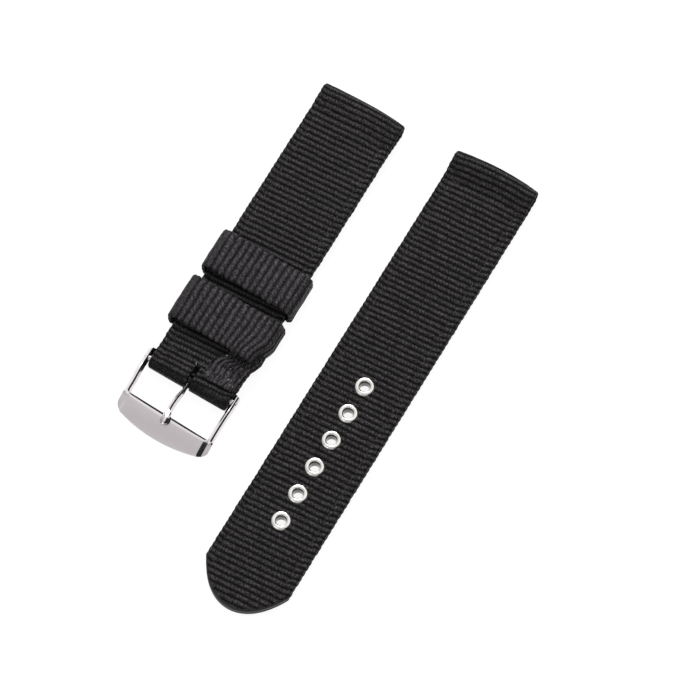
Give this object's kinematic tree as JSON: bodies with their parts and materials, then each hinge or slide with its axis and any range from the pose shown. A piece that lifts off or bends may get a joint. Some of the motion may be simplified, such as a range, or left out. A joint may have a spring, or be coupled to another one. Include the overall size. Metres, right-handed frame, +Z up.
{
  "type": "nylon watch strap",
  "caption": "Two-piece ribbed nylon watch strap: a buckle half with a sewn and a sliding keeper and a pin buckle, beside a tail half with metal eyelets and a rounded tip.",
  "frame": {"origin": "bottom centre of the pair as the two halves lie side by side", "axes": "+X along both halves toward their lug ends, +Y toward the buckle half, +Z up through the strap's face"},
  "size_m": [0.1158, 0.0544, 0.0062],
  "materials": {
    "webbing": "ribbed black nylon webbing",
    "keeper_webbing": "coarse ribbed black nylon ribbon",
    "thread": "black bonded thread",
    "polished_steel": "polished",
    "plain_steel": "plain"
  },
  "bodies": {
    "buckle_half": {"buckle_webbing": "webbing", "buckle_edge_stitching": "thread", "buckle_lug_seam": "thread", "fold_seam": "thread", "fixed_keeper": "keeper_webbing", "keeper_bartack": "thread", "spring_bar_tube": "plain_steel", "spring_bar_spring": "plain_steel"},
    "sliding_keeper": {"free_keeper": "keeper_webbing"},
    "frame": {"buckle_frame": "polished_steel"},
    "tongue": {"buckle_tongue": "polished_steel"},
    "plunger_left": {"spring_bar_plunger_left": "plain_steel"},
    "plunger_right": {"spring_bar_plunger_right": "plain_steel"},
    "tail_half": {"tail_webbing": "webbing", "tail_edge_stitching": "thread", "tail_lug_seam": "thread", "eyelet_1": "polished_steel", "eyelet_2": "polished_steel", "eyelet_3": "polished_steel", "eyelet_4": "polished_steel", "eyelet_5": "polished_steel", "eyelet_6": "polished_steel", "eyelet_washer_1": "plain_steel", "eyelet_washer_2": "plain_steel", "eyelet_washer_3": "plain_steel", "eyelet_washer_4": "plain_steel", "eyelet_washer_5": "plain_steel", "eyelet_washer_6": "plain_steel"}
  },
  "joints": [
    {"name": "frame_swing", "type": "hinge", "parent": "buckle_half", "child": "frame", "pos_m": [-0.0176, 0.0154, 0.00215], "axis": [0, 1, 0], "range_deg": [-60, 60]},
    {"name": "tongue_swing", "type": "hinge", "parent": "frame", "child": "tongue", "pos_m": [-0.0176, 0.0154, 0.00215], "axis": [0, 1, 0], "range_deg": [0, 60]},
    {"name": "plunger_left_press", "type": "slide", "parent": "buckle_half", "child": "plunger_left", "axis": [0, -1, 0], "range_m": [0, 0.0007], "stiffness_N_per_m": 600, "deforming": ["spring_bar_spring"]},
    {"name": "plunger_right_press", "type": "slide", "parent": "buckle_half", "child": "plunger_right", "axis": [0, 1, 0], "range_m": [0, 0.0007], "stiffness_N_per_m": 600, "deforming": ["spring_bar_spring"]},
    {"name": "keeper_slide", "type": "slide", "parent": "buckle_half", "child": "sliding_keeper", "axis": [1, 0, 0], "range_m": [-0.0022, 0.035]},
    {"name": "tail_lift", "type": "slide", "parent": "buckle_half", "child": "tail_half", "axis": [0, 0, 1], "range_m": [0, 0.06]}
  ]
}
